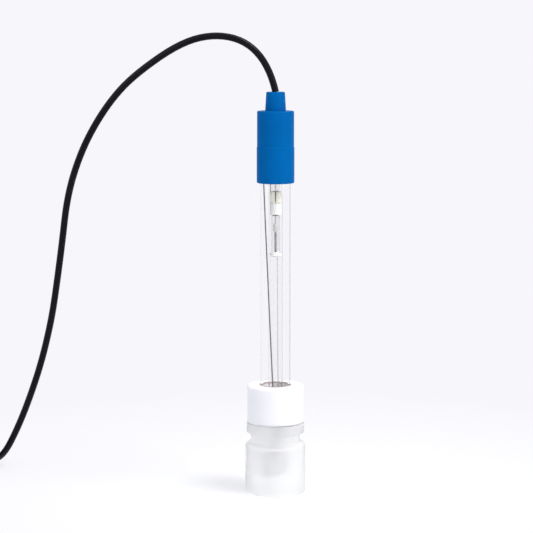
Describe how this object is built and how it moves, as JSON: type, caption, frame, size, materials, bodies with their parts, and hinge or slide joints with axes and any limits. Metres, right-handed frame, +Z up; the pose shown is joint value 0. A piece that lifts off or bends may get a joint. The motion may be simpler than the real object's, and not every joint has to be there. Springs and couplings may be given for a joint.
{
  "type": "ph electrode",
  "caption": "Glass combination pH electrode with a blue grip, standing in its capped storage bottle, with a coaxial lead that ends in a bayonet plug.",
  "frame": {"origin": "centre of the storage bottle's foot, on the surface it stands on", "axes": "+Z up along the electrode's shaft; the lead leaves over the -X side; the picture looks along +Y"},
  "size_m": [0.1865, 0.0776, 0.185],
  "materials": {
    "bottle_plastic": "frosted, translucent",
    "solution": "clear liquid",
    "cap_plastic": "satin white",
    "seal_rubber": "matte red-brown",
    "white_plastic": "matte white",
    "clear_glass": "clear",
    "bulb_glass": "clear, very thin",
    "frit_ceramic": "porous",
    "silver_wire": "dull silver",
    "dark_wire": "dark coated silver",
    "yellow_silicone": "pale yellow, translucent",
    "white_wool": "packed fibre",
    "silver_salt": "packed powder",
    "coated_rod": "dark grey, matte",
    "grip_plastic": "satin blue",
    "potting_resin": "cured resin",
    "cable_jacket": "satin black",
    "bare_copper": "bare",
    "solder": "bright",
    "tie_plastic": "matte black",
    "boot_rubber": "matte black",
    "nickel": "nickel plate",
    "gilt_contact": "gilt",
    "spring_wire": "spring steel"
  },
  "bodies": {
    "bottle": {"storage_bottle": "bottle_plastic", "storage_solution": "solution"},
    "seal": {"sealing_ring": "seal_rubber", "seal_washer": "white_plastic"},
    "cap": {"bottle_cap": "cap_plastic", "wiper_ring": "seal_rubber"},
    "electrode": {"glass_body": "clear_glass", "ph_bulb": "bulb_glass", "junction_frit": "frit_ceramic", "glass_bead": "clear_glass", "contact_wire": "silver_wire", "stem_plug": "yellow_silicone", "stem_disc": "white_plastic", "stem_wool": "white_wool", "stub_wire": "dark_wire", "element_capsule": "clear_glass", "element_powder": "silver_salt", "element_rod": "coated_rod", "capsule_plug": "white_wool", "inner_wire": "silver_wire", "reference_wire": "dark_wire", "centring_ring": "yellow_silicone", "grip": "grip_plastic", "cap_potting": "potting_resin", "cable_stub": "cable_jacket", "cable_dielectric": "white_plastic", "core_wire": "bare_copper", "shield_wire": "bare_copper", "solder_joints": "solder", "cable_run": "cable_jacket", "cable_coil": "cable_jacket", "cable_tail": "cable_jacket", "coil_tie": "tie_plastic", "plug_boot": "boot_rubber", "crimp_ferrule": "nickel", "plug_body": "nickel", "plug_insulator": "white_plastic", "centre_pin": "gilt_contact", "plug_gasket": "seal_rubber", "circlip": "spring_wire"},
    "plug_nut": {"coupling_nut": "nickel"}
  },
  "joints": [
    {"name": "closure_rise", "type": "slide", "parent": "bottle", "child": "seal", "axis": [0, 0, 1], "range_m": [0, 0.006]},
    {"name": "cap_turn", "type": "hinge", "parent": "seal", "child": "cap", "pos_m": [0, 0, 0.036], "axis": [0, 0, 1], "range_deg": [0, 720]},
    {"name": "electrode_pull", "type": "slide", "parent": "seal", "child": "electrode", "axis": [0, 0, 1], "range_m": [0, 0.05]},
    {"name": "nut_turn", "type": "hinge", "parent": "electrode", "child": "plug_nut", "pos_m": [-0.1672, 0.0334, 0.00725], "axis": [0, -1, 0], "continuous": true}
  ],
  "couplings": [
    {"joint": "cap_turn", "follows": "closure_rise", "rad_per_m": 2094.4}
  ]
}
